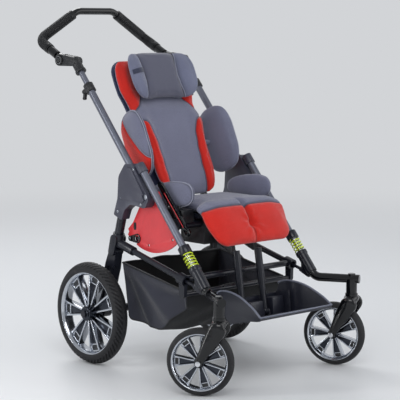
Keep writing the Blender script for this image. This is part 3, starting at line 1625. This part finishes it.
@dataclass
class RibbedGrips:
    """The rubber grips round the corners of the push bar, with raised ribs and plain end bands."""

    hub: Pair = HANDLE_HUB
    slope: float = math.radians(26.4)
    half: float = FRAME_HALF
    corner: Pair = (0.4537, 0.9736)
    middle: Point = (0.073, 0.4477, 1.0646)
    radius: float = 0.038
    start: float = 0.076
    end: float = 0.020
    inner: float = 0.0114
    body_r: float = 0.0146
    rib_r: float = 0.0161
    pitch: float = 0.0056
    stride: float = 0.0007

    def route(self) -> Array:
        """Points along the middle of the grip on the occupant's left."""
        first = np.array([self.half, self.hub[0] + self.start * math.cos(self.slope),
                          self.hub[1] + self.start * math.sin(self.slope)])
        corner = np.array([self.half, *self.corner])
        middle = np.array(self.middle)
        a = (first - corner) / np.linalg.norm(first - corner)
        b = (middle - corner) / np.linalg.norm(middle - corner)
        half_turn = math.acos(float(a @ b)) / 2
        back = self.radius / math.tan(half_turn)
        centre = corner + (a + b) / np.linalg.norm(a + b) * self.radius / math.sin(half_turn)
        p, q = corner + a * back - centre, corner + b * back - centre
        sweep = math.pi - 2 * half_turn
        t = np.linspace(0, 1, 80)[:, None]
        bend = centre + (p * np.sin((1 - t) * sweep) + q * np.sin(t * sweep)) / math.sin(sweep)
        rough = np.vstack([first, bend, middle - b * self.end])
        return resample(rough, np.arange(0, run_along(rough)[-1], self.stride))

    def build(self) -> None:
        """Lofts the ribs along the bar and dresses both grips as one piece."""
        line = self.route()
        step = np.gradient(line, axis=0)
        step /= np.linalg.norm(step, axis=1, keepdims=True)
        total = len(line) * self.stride
        angle = round_turn(40)
        side = np.cross(step, np.array([0.1, 0.9, -0.4]))
        side /= np.linalg.norm(side, axis=1, keepdims=True)
        other = np.cross(step, side)
        rings = []
        for i, point in enumerate(line):
            run = i * self.stride
            band = max(float(rise(0.014, 0.011, run)), float(rise(total - 0.018, total - 0.015, run)))
            rib = float(rise(-0.25, 0.45, math.sin(2 * math.pi * run / self.pitch)))
            grow = max(band, rib)
            ends = float(rise(-0.0005, 0.0016, run)), float(rise(total + 0.0005, total - 0.0016, run))
            skin = self.body_r + (self.rib_r - self.body_r) * grow - self.inner
            r = self.inner + skin * (0.35 + 0.65 * min(1.0, *ends))
            rings.append(point + r * (np.cos(angle)[:, None] * side[i] + np.sin(angle)[:, None] * other[i]))
        left = loft("push_grips", rings)
        right = loft("push_grip_right", [ring * np.array([-1, 1, 1]) for ring in rings])
        piece = smooth(close_up(join("push_grips_ribbed", left, right), 1e-7), 50)
        fit(paint(piece, Paint.GRIP), "handle_bar", "grip_rubber", "grips")


@dataclass
class HandleHubs:
    """Round bosses on the handle's hinges, with a bright ring about the push button."""

    hub: Pair = HANDLE_HUB
    inner: float = 0.0093
    outer: float = 0.0172
    stand: float = 0.0026

    def build(self) -> None:
        """Turns and dresses a boss for each side."""
        face = float(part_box("handle_joints")[1][0])
        r0, r1, high = self.inner, self.outer, self.stand
        boss = [(-0.001, r0), (high * 0.6, r0), (high * 0.7, r1 * 0.7), (high, r1 * 0.76), (high, r1 * 0.9),
                (high * 0.6, r1), (-0.001, r1)]
        line = [(high * 0.5, r1 * 0.64), (high * 0.95, r1 * 0.66),
                (high * 0.95, r1 * 0.7), (high * 0.5, r1 * 0.72)]
        for side, sign in SIDES.items():
            body = paint(round_off(turned("hub_boss", boss, 64), 0.0004), Paint.GLOSS_BLACK)
            ring = paint(turned("hub_ring", line, 64), Paint.BRIGHT)
            piece = join(f"handle_hub_{side}", body, ring)
            turn = Matrix.Rotation(0 if sign > 0 else math.pi, 4, "Z")
            settle(piece, Matrix.Translation((sign * face, *self.hub)) @ turn)
            fit(piece, "handle", "black_plastic")


@dataclass
class CastParts:
    """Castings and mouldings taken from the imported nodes, with the soft edges that such parts have."""

    voxel: float = 0.0013
    passes: int = 7
    fork_voxel: float = 0.0014
    fork_passes: int = 40
    swell: float = 0.0045
    swell_from: Pair = (0.105, 0.165)
    swell_to: Pair = (0.222, 0.205)
    cheek: float = 0.006
    cheek_from: Pair = (0.098, 0.122)
    cheek_to: Pair = (0.225, 0.2)
    cheek_low: float = 0.085
    cheek_step: float = 0.004
    cheek_bins: int = 40
    paired: tuple = (
        ("lever", Paint.BLACK_PLASTIC, "black_plastic", 0.0008),
        ("button", Paint.BLACK_PLASTIC, "black_plastic", 0.0008),
        ("index_bolt", Paint.SATIN, "satin_metal", 0.0005),
        ("caster_axle", Paint.BRIGHT, "bright_metal", 0.0006),
    )
    softened: tuple = (
        ("side_covers", Paint.COVER, "cover_plastic", 0.0016),
        ("leg_brackets", Paint.FRAME_BLACK, "frame_black", 0.001),
        ("clamp_collars", Paint.BLACK_PLASTIC, "black_plastic", 0.0008),
        ("handle_joints", Paint.BLACK_PLASTIC, "black_plastic", 0.0014),
        ("spring_seats", Paint.FRAME_BLACK, "frame_black", 0.0008),
        ("tilt_arms", Paint.FRAME_BLACK, "frame_black", 0.0008),
        ("seat_base", Paint.FRAME_BLACK, "frame_black", 0.0008),
        ("seat_box", Paint.BLACK_PLASTIC, "black_plastic", 0.0008),
        ("side_rails", Paint.GLOSS_BLACK, "gloss_black", 0.0008),
        ("hip_brackets", Paint.BLACK_PLASTIC, "black_plastic", 0.0008),
        ("brake_pedal", Paint.BLACK_PLASTIC, "black_plastic", 0.0014),
        ("back_shell", Paint.SHELL, "shell_plastic", 0.0016),
        ("pivot_bolts", Paint.SATIN, "satin_metal", 0.0006),
    )

    def melt(self, node: str, finish: Paint, slot: str, voxel: float = 0.0, passes: int = 0) -> Piece:
        """A cast part: an even skin over the node, with all its corners melted.

        Args:
            node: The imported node.
            finish: Its finish.
            slot: The record's material slot.
            voxel: Size of the skin's faces, or 0 for the usual one.
            passes: Rounds of smoothing, or 0 for the usual count.

        Returns:
            The part.
        """
        piece = copy_node(node, f"{node}_cast")
        piece.data.remesh_voxel_size = voxel or self.voxel
        bpy.ops.object.voxel_remesh()
        smooth(apply(piece, "SMOOTH", factor=0.5, iterations=passes or self.passes))
        return fit(paint(piece, finish), body_with(node), slot, node)

    def soften(self, node: str, finish: Paint, slot: str, width: float) -> None:
        """A cut or moulded part: the node with a small bevel on each edge.

        Args:
            node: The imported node.
            finish: Its finish.
            slot: The record's material slot.
            width: Bevel width in metres.
        """
        piece = edged(copy_node(node, f"{node}_edged"), width)
        fit(paint(piece, finish), body_with(node), slot, node)

    def shoulder(self, side: str) -> None:
        """A caster fork: the cast node with its crown and shoulders swelled, clear of the tyre.

        Args:
            side: Which caster.
        """
        piece = self.melt(f"fork_{side}", Paint.GLOSS_BLACK, "gloss_black", self.fork_voxel, self.fork_passes)
        stem = caster_stem(side)
        turn = np.array(stem.to_3x3())
        local = (places(piece) - np.array(stem.translation)) @ turn
        way = facing(piece) @ turn
        outer = np.sign(local[:, 0])
        way[:, 0] = np.where(way[:, 0] * outer > 0, way[:, 0], 0)
        swell = self.swell * rise(*self.swell_from, local[:, 2]) * rise(*self.swell_to, local[:, 2])
        local[:, 0] += outer * self.crown(local, way[:, 0] * outer)
        move_to(piece, (local + way * swell[:, None]) @ turn.T + np.array(stem.translation))

    def crown(self, local: Array, outward: Array) -> Array:
        """How far each point of a fork moves out so that the flat cheeks become crowned.

        Args:
            local: The points in the stem's frame.
            outward: How far each point's normal looks away from the wheel, 0 to 1.

        Returns:
            The move of each point.
        """
        bins = np.clip(((local[:, 2] - self.cheek_low) / self.cheek_step).astype(int), 0, self.cheek_bins - 1)
        flat = outward > 0.7
        low, high = np.full(self.cheek_bins, np.inf), np.full(self.cheek_bins, -np.inf)
        np.minimum.at(low, bins[flat], local[flat, 1])
        np.maximum.at(high, bins[flat], local[flat, 1])
        known = np.flatnonzero(high > low)
        heights = self.cheek_low + (known + 0.5) * self.cheek_step
        middle = np.interp(local[:, 2], heights, (low + high)[known] / 2)
        half = np.interp(local[:, 2], heights, (high - low)[known] / 2) + 0.003
        across = np.clip(1 - ((local[:, 1] - middle) / half) ** 2, 0, 1)
        move = self.cheek * across * rise(0, 0.6, outward) * rise(*self.cheek_from, local[:, 2])
        return move * rise(*self.cheek_to, local[:, 2])

    def build(self) -> None:
        """Makes and dresses all the castings and mouldings."""
        for side in SIDES:
            self.shoulder(side)
            self.melt(f"clamp_{side}", Paint.FRAME_BLACK, "frame_black")
            for node, *look in self.paired:
                self.soften(f"{node}_{side}", *look)
        for part in self.softened:
            self.soften(*part)


@dataclass
class SectorPlates:
    """The red sector plates about the tilt pivot, filled out round their slot, with a dark plug in it."""

    pivot: Pair = (-0.066, 0.522)
    fill: tuple = ((0.090, 33), (0.090, 46), (0.166, 33), (0.154, 46))
    plug: Pair = (0.124, 39.5)
    plug_half: float = 0.0060
    plug_run: float = 0.0055
    latch_from: Pair = (0.148, 27.2)
    latch_to: Pair = (0.167, 36.5)
    latch_big: float = 0.0142
    latch_small: float = 0.0080
    latch_bore: float = 0.0106
    plug_steps: tuple = ((-0.001, 1), (0.0004, 1), (0.0008, 0.94), (0.0008, 0.8), (0.0002, 0.72))
    latch_steps: tuple = ((-0.0002, 1), (0.0024, 1), (0.0034, 0.95), (0.0036, 0.88))
    screw_line: tuple = (
        (0, 0.0006), (0.0012, 0.0008), (0.0012, 0.0028), (0.0004, 0.0042), (-0.001, 0.0042), (-0.001, 0.0006),
    )

    def at(self, reach: float, degrees: float) -> Pair:
        """Row frame y and z at a reach from the pivot and an angle from straight down to the rear."""
        a = math.radians(degrees)
        return self.pivot[0] + reach * math.sin(a), self.pivot[1] - reach * math.cos(a)

    def raised(self, name: str, face: float, sign: int, flat: Array, middle: Array, steps: tuple) -> Piece:
        """A low part on a plate's face, skinned from its outline.

        Args:
            name: The new object's name.
            face: Where the plate's outer face stands.
            sign: Which way is out.
            flat: The part's outline.
            middle: What the outline shrinks to.
            steps: How far out each ring stands and how large it is.

        Returns:
            The part.
        """
        return loft(name, [
            np.column_stack([np.full(len(flat), face + sign * out), (flat - middle) * grow + middle])
            for out, grow in steps
        ])

    def build(self) -> None:
        """Fills out, bevels and dresses the plates, their plugs and their latches."""
        piece = copy_node("sector_plates", "sector_plates_edged")
        outer = float(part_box("sector_plates")[1][0])
        inner = float(np.abs(places(piece)[:, 0]).min())
        for sign in SIDES.values():
            xs = sorted((sign * inner, sign * outer))
            corners = [(x, *self.at(*place)) for x in xs for place in self.fill]
            filler = block("plate_filler", corners, 0)
            apply(piece, "BOOLEAN", operation="UNION", solver="EXACT", object=filler)
            bpy.data.objects.remove(filler)
        edged(piece, 0.0007)
        fit(paint(piece, Paint.PLATE_RED), body_with("sector_plates"), "plate_red", "sector_plates")
        turn = round_turn(48)
        middle = np.array(self.at(*self.plug))
        flat = middle + np.column_stack([
            self.plug_half * np.cos(turn),
            self.plug_half * np.sin(turn) + self.plug_run * np.sign(np.sin(turn)),
        ])
        for side, sign in SIDES.items():
            face = sign * outer
            plug = self.raised(f"plate_plug_{side}", face, sign, flat, middle, self.plug_steps)
            fit(paint(smooth(plug, 40), Paint.BLACK_PLASTIC), "chassis", "black_plastic")
            self.latch(side, face)

    def latch(self, side: str, face: float) -> None:
        """A drop-shaped latch ring about the index bolt, with a bright screw in its tail.

        Args:
            side: Which plate.
            face: Where the plate's outer face stands.
        """
        sign = SIDES[side]
        near, far = np.array(self.at(*self.latch_from)), np.array(self.at(*self.latch_to))
        way = (far - near) / np.linalg.norm(far - near)
        heading = math.atan2(way[1], way[0])
        turn = round_turn(72)
        front = np.cos(turn - heading) > 0
        reach = np.where(front, self.latch_small, self.latch_big)[:, None]
        flat = reach * np.column_stack([np.cos(turn), np.sin(turn)]) + np.where(front[:, None], far, near)
        body = self.raised(f"latch_body_{side}", face, sign, flat, (near + far) / 2, self.latch_steps)
        bpy.ops.mesh.primitive_cylinder_add(
            vertices=64, radius=self.latch_bore, depth=0.02, location=(face, *self.at(*self.latch_from)),
            rotation=(0, math.pi / 2, 0),
        )
        cutter = bpy.context.object
        apply(body, "BOOLEAN", operation="DIFFERENCE", solver="EXACT", object=cutter)
        bpy.data.objects.remove(cutter)
        smooth(paint(body, Paint.GLOSS_BLACK), 40)
        screw = paint(turned(f"latch_screw_{side}", self.screw_line, 32), Paint.SATIN)
        spin = Matrix.Rotation(0 if sign > 0 else math.pi, 4, "Z")
        settle(screw, Matrix.Translation((face + sign * self.latch_steps[-1][0], *far)) @ spin)
        fit(join(f"index_latch_{side}", body, screw), "chassis", "black_plastic")


@dataclass
class FootTray:
    """The foot tray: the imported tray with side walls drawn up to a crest, heel blocks and a rolled edge."""

    pin: Pair = (-0.284, 0.178)
    heel: float = -0.254
    lip: float = -0.455
    half: float = 0.150
    wall: float = 0.005
    splay: float = math.radians(6)
    crest: tuple = (
        (0, 0.250), (0.12, 0.2605), (0.27, 0.2632), (0.40, 0.2612),
        (0.54, 0.2555), (0.67, 0.246), (0.85, 0.229), (1, 0.209),
    )
    block_high: float = 0.058
    block_deep: float = 0.042
    side_block: Pair = (0.064, 0.1135)
    fin: tuple = (0.116, 0.1205, 0.070, 0.062)
    edge_r: float = 0.0031

    def floor(self, y: Array) -> Array:
        """Height of the tray's floor, which climbs to the lip."""
        y = np.asarray(y, float)
        climb = 0.265 * (self.pin[0] - y)
        return self.pin[1] - 0.013 + climb - 0.006 * rise(0, 0.06, self.lip + 0.06 - y)

    def top(self, y: Array) -> Array:
        """Height of the side walls' crest."""
        share = (self.heel - np.asarray(y, float)) / (self.heel - self.lip)
        line = curve_through(self.crest, 80)
        return np.interp(share, line[:, 0], line[:, 1])

    def heel_block(self, name: str, low: float, high: float, tall: float, deep: float) -> Piece:
        """A block behind the heels, from one place across to another, a little narrower at its top."""
        rear, front = self.heel - 0.004, self.heel - 0.004 - deep
        corners = []
        for x, draft in ((low, 0.002), (high, -0.002)):
            for y in (front, rear):
                foot = float(self.floor(y)) - 0.002
                slant = 0.006 if y == front else 0.0
                corners += [(x, y, foot), (x + draft, y + slant, foot + tall - slant)]
        return block(name, corners, 0.0022)

    def build(self) -> None:
        """Draws up the walls, sets the blocks and rolls the edge."""
        piece = copy_node("foot_tray", "foot_tray_edged")
        points = places(piece)
        y, z = points[:, 1], points[:, 2]
        side = (np.abs(points[:, 0]) > 0.115) & (z > self.floor(y) + 0.0042) & (y < self.heel - 0.0045)
        points[side, 2] = self.top(y[side])
        move_to(piece, points)
        parts = [edged(piece, 0.0014)]
        parts.append(self.heel_block("heel_middle", -0.028, 0.028, self.block_high * 0.9, self.block_deep))
        for sign in SIDES.values():
            for low, high, tall, deep in ((*self.side_block, self.block_high, self.block_deep), self.fin):
                xs = sorted((sign * low, sign * high))
                parts.append(self.heel_block("heel_side", *xs, tall, deep))
        along = np.linspace(self.heel - 0.004, self.lip, 60)
        out = self.half - self.wall / 2 - (along - self.lip) * math.tan(self.splay)
        wall = np.column_stack([out, along, self.top(along) - 0.0012])
        edge = np.vstack([wall, (wall * [-1, 1, 1])[::-1]])
        parts.append(tube("tray_edge", edge, self.edge_r))
        for part in parts:
            paint(part, Paint.TRAY_EDGE if part is parts[-1] else Paint.TRAY)
        fit(join("foot_tray_dressed", *parts), body_with("foot_tray"), "tray_plastic", "foot_tray")


@dataclass
class RailTrim:
    """A thin red line along the outer face of each seat rail."""

    top: Pair = (-0.085, 0.557)
    low: Pair = (-0.200, 0.427)
    radius: float = 0.0013
    top_gap: float = 0.030
    low_gap: float = 0.018

    def build(self) -> None:
        """Lays and dresses both lines."""
        face = float(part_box("side_rails")[1][0])
        ends = np.array([self.top, self.low])
        way = (ends[1] - ends[0]) / np.linalg.norm(ends[1] - ends[0])
        for side, sign in SIDES.items():
            spots = [ends[0] + way * self.top_gap, ends[1] - way * self.low_gap]
            points = [(sign * face, y, z) for y, z in np.linspace(*spots, 12)]
            line = paint(tube(f"rail_line_{side}", points, self.radius), Paint.PLATE_RED)
            fit(line, body_with("side_rails"), "plate_red")


@dataclass
class TubeWork:
    """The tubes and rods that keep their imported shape, and the screws that hold the covers."""

    finishes: tuple = (
        (Paint.FRAME_GREY, ("front_tubes", "push_tubes", "handle_tubes", "headrest_post")),
        (Paint.FRAME_BLACK, ("upper_legs", "side_braces", "cross_tubes", "lower_legs", "axle_tube")),
        (Paint.FRAME_BLACK, ("hanger_outers", "hanger_inners", "back_frame")),
        (Paint.GLOSS_BLACK, ("caster_arm_left", "caster_arm_right", "push_bar")),
        (Paint.BRIGHT, ("pillar_rods",)),
    )
    screws: tuple = ((-0.015, 0.599), (0.041, 0.513), (0.057, 0.469), (-0.048, 0.498))
    screw_r: float = 0.0042

    def dress(self) -> None:
        """Gives the tubes their finishes."""
        for finish, nodes in self.finishes:
            for node in nodes:
                for held in frame["nodes"][node].material_slots:
                    held.material = finish.material()
                LOG.info("%s keeps its shape in %s", node, finish.value.name)

    def screw(self, name: str) -> Piece:
        """A button head screw with a hexagon socket, facing +Z, its seat at the origin."""
        bpy.ops.object.select_all(action="DESELECT")
        bpy.ops.mesh.primitive_cylinder_add(vertices=24, radius=self.screw_r, depth=0.003)
        piece = bpy.context.active_object
        piece.name = name
        bpy.ops.object.mode_set(mode="EDIT")
        bpy.ops.mesh.select_all(action="DESELECT")
        bpy.ops.mesh.select_mode(type="FACE")
        bpy.ops.object.mode_set(mode="OBJECT")
        for face in piece.data.polygons:
            face.select = face.normal.z > 0.9
        bpy.ops.object.mode_set(mode="EDIT")
        bpy.ops.mesh.inset(thickness=self.screw_r * 0.28, depth=0.0009)
        bpy.ops.mesh.inset(thickness=self.screw_r * 0.26, depth=0.0002)
        bpy.ops.mesh.extrude_region_move(TRANSFORM_OT_translate={"value": (0, 0, -0.0016)})
        bpy.ops.object.mode_set(mode="OBJECT")
        points = places(piece)
        far = np.hypot(points[:, 0], points[:, 1])
        turn = np.arctan2(points[:, 1], points[:, 0])
        socket = far < self.screw_r * 0.5
        hexagon = math.cos(math.pi / 6) / np.cos((turn % (math.pi / 3)) - math.pi / 6)
        points[socket, :2] *= hexagon[socket, None]
        move_to(piece, points)
        return round_off(piece, 0.00025, 30)

    def build(self) -> None:
        """Gives the tubes their finishes and sets a screw in each place on both side covers."""
        self.dress()
        cover = bpy.data.objects["side_covers_edged"]
        for side, sign in SIDES.items():
            parts = []
            for k, (y, z) in enumerate(self.screws):
                seat = cast(cover, np.array([[sign * 0.5, y, z]]), np.array([[-sign, 0, 0]]), -0.0006)
                if len(seat):
                    turn = Matrix.Rotation(sign * math.pi / 2, 4, "Y")
                    place = Matrix.Translation(seat[0]) @ turn
                    parts.append(settle(self.screw(f"cover_screw_{side}_{k}"), place))
            piece = join(f"cover_screws_{side}", *parts)
            fit(paint(piece, Paint.SATIN), "chassis", "satin_metal")


@dataclass
class Studio:
    """A pale floor, soft lamps and the camera."""

    eye: Point = (-3.0369, -3.3019, 1.020)
    heading: float = 43.04
    pitch: float = 6.75
    lens: float = 132.9
    wall_at: float = 5.5
    wall_bend: float = 4.0
    wall_half: float = 24.0
    backdrop_colour: str = "d2d4d7"
    lamps: tuple = (
        ("key", (-2.2, -2.6, 3.0), (2.2, 2.2), 60),
        ("fill", (2.6, -2.4, 2.2), (2.4, 2.4), 24),
        ("rear", (0.8, 2.6, 2.8), (2.0, 2.0), 46),
        ("left_strip", (-2.5, 0.7, 1.0), (0.22, 2.2), 20),
        ("right_strip", (1.2, -3.2, 1.0), (0.22, 2.2), 14),
    )

    def build(self) -> None:
        """Sets up the floor, light and camera."""
        scene = bpy.context.scene
        scene.view_settings.view_transform = "Standard"
        self.backdrop()
        self.sky()
        for lamp in self.lamps:
            self.lamp(*lamp)
        data = bpy.data.cameras.new("camera")
        data.lens = self.lens
        data.sensor_width = 36
        camera = added("camera", data)
        camera.location = self.eye
        camera.rotation_euler = (math.radians(90 - self.pitch), 0, -math.radians(self.heading))
        scene.camera = camera

    def backdrop(self) -> None:
        """A floor that curves up into a wall far behind the object, with no line between them."""
        turn = np.linspace(0, math.pi / 2, 40)
        out, up = self.wall_bend * np.sin(turn), self.wall_bend * (1 - np.cos(turn))
        bend = np.column_stack([self.wall_at + out, up])
        line = np.vstack([[-self.wall_half, 0], bend, [bend[-1, 0], self.wall_half]])
        points = [(x, y, z - 0.0004) for x in (-self.wall_half, self.wall_half) for y, z in line]
        count = len(line)
        floor = sheet_of("floor", points, [(i, count + i, count + i + 1, i + 1) for i in range(count - 1)])
        smooth(settle(floor, Matrix.Rotation(-math.radians(self.heading), 4, "Z")))
        floor.data.materials.append(self.floor_finish())

    def floor_finish(self) -> Material:
        """A pale floor with a soft satin bloom."""
        graph = Graph("finish_floor")
        cloud = graph.noise(0.8, 3)
        colour = graph.mix(cloud, rgb("dddfe1"), rgb("e4e5e7"))
        inputs = {"Base Color": colour, "Roughness": 0.38 + cloud * 0.1}
        lit = graph.value("ShaderNodeBsdfPrincipled", None, inputs)
        glow = graph.value("ShaderNodeEmission", None, {"Color": rgb(self.backdrop_colour), "Strength": 1.0})
        rays = graph.node("ShaderNodeLightPath")
        seen = [Value(graph, rays.outputs[f"Is {kind} Ray"]) for kind in ("Camera", "Glossy", "Transmission")]
        x, y, _ = graph.axes(graph.place())
        far = ((x * x + y * y) ** 0.5).step(1.2, 5.0)
        factor = far * (seen[0] + seen[1] + seen[2]).step(0, 1)
        both = graph.value("ShaderNodeMixShader", None, {0: factor, 1: lit, 2: glow})
        graph.node("ShaderNodeOutputMaterial", None, {"Surface": both})
        return graph.material

    def sky(self) -> None:
        """Even light from all round, shown pale behind the object."""
        world = bpy.data.worlds.new("studio")
        bpy.context.scene.world = world
        world.use_nodes = True
        nodes, links = world.node_tree.nodes, world.node_tree.links
        light = nodes["Background"]
        light.inputs["Color"].default_value = (0.88, 0.91, 0.95, 1)
        light.inputs["Strength"].default_value = 0.55
        shown = nodes.new("ShaderNodeBackground")
        shown.inputs["Color"].default_value = rgb(self.backdrop_colour)
        rays, both = nodes.new("ShaderNodeLightPath"), nodes.new("ShaderNodeMixShader")
        links.new(rays.outputs["Is Camera Ray"], both.inputs[0])
        for place, source in ((1, light), (2, shown)):
            links.new(source.outputs["Background"], both.inputs[place])
        links.new(both.outputs["Shader"], nodes["World Output"].inputs["Surface"])

    def lamp(self, name: str, place: Point, size: Pair, power_w: float) -> None:
        """One soft lamp aimed at the seat.

        Args:
            name: The lamp's name.
            place: Where it hangs.
            size: Its width and height in metres.
            power_w: Its power in watts.
        """
        data = bpy.data.lights.new(name, "AREA")
        data.energy = power_w
        data.shape = "RECTANGLE"
        data.size, data.size_y = size
        lamp = added(name, data)
        lamp.location = place
        lamp.rotation_euler = (Vector((0, 0, 0.5)) - Vector(place)).to_track_quat("-Z", "Y").to_euler()


def caster_stem(side: str) -> Matrix:
    """Where a caster's swivel stands on the floor, turned as the caster is at rest."""
    sign = SIDES[side]
    swivel = math.radians(CASTER_SWIVEL[side])
    across, along = CASTER_AT
    return Matrix.Translation((sign * across, along, 0)) @ Matrix.Rotation(swivel, 4, "Z")


def wheels() -> list[Wheel]:
    """The four wheels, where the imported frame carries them.

    Returns:
        Two casters and two rear wheels.
    """
    made = []
    for side, sign in SIDES.items():
        place = caster_stem(side) @ Matrix.Translation((0, 0.053, 0.0962))
        made.append(Wheel(
            f"caster_{side}", f"caster_wheel_{side}", place, tyre_d=0.1924, tyre_w=0.038, rim_d=0.163,
            rim_w=0.0319, hub_d=0.030, hub_w=0.042, bore=0.008, tread=Tread.SMOOTH,
        ))
        place = Matrix.Translation((sign * 0.2712, 0.140, 0.155))
        made.append(Wheel(
            f"rear_{side}", f"rear_wheel_{side}", place, tyre_d=0.310, tyre_w=0.046, rim_d=0.251,
            rim_w=0.0386, hub_d=0.044, hub_w=0.056, bore=0.012, tread=Tread.CHEVRON,
        ))
    return made


def side_pads() -> list[SidePad]:
    """The hip pads and the chest pads."""
    hip = SidePad(
        "hip_pad", "seat", "hip_pads", length=0.196, width=0.078, thickness=0.034, squareness=2.3,
        place=hip_place, wedge=0.15,
    )
    chest = SidePad(
        "chest_pad", "back", "chest_pads", length=0.232, width=0.150, thickness=0.031, squareness=2.5,
        place=chest_place,
        split=(
            (-0.126, 0.052), (-0.088, 0.031), (-0.044, 0.012), (-0.004, -0.009),
            (0.034, -0.032), (0.064, -0.060), (0.080, -0.096),
        ),
        red_corners=((0.2, -0.1), (0.2, 0.2), (-0.126, 0.2)),
    )
    return [hip, chest]


def main() -> None:
    """Builds the buggy's pieces in order."""
    logging.basicConfig(level=logging.INFO, format="%(message)s")
    Studio().build()
    builders = [BackCushion(), SeatCushion(), *side_pads(), Headrest(), Basket(), *wheels(), SpringCoils(),
                RibbedGrips(), HandleHubs(), CastParts(), SectorPlates(), FootTray(), RailTrim(),
                TubeWork()]
    for builder in builders:
        builder.build()
        LOG.info("built %s", type(builder).__name__)
    chest_sleeves()
    bpy.context.view_layer.update()


if __name__ == "__main__":
    main()
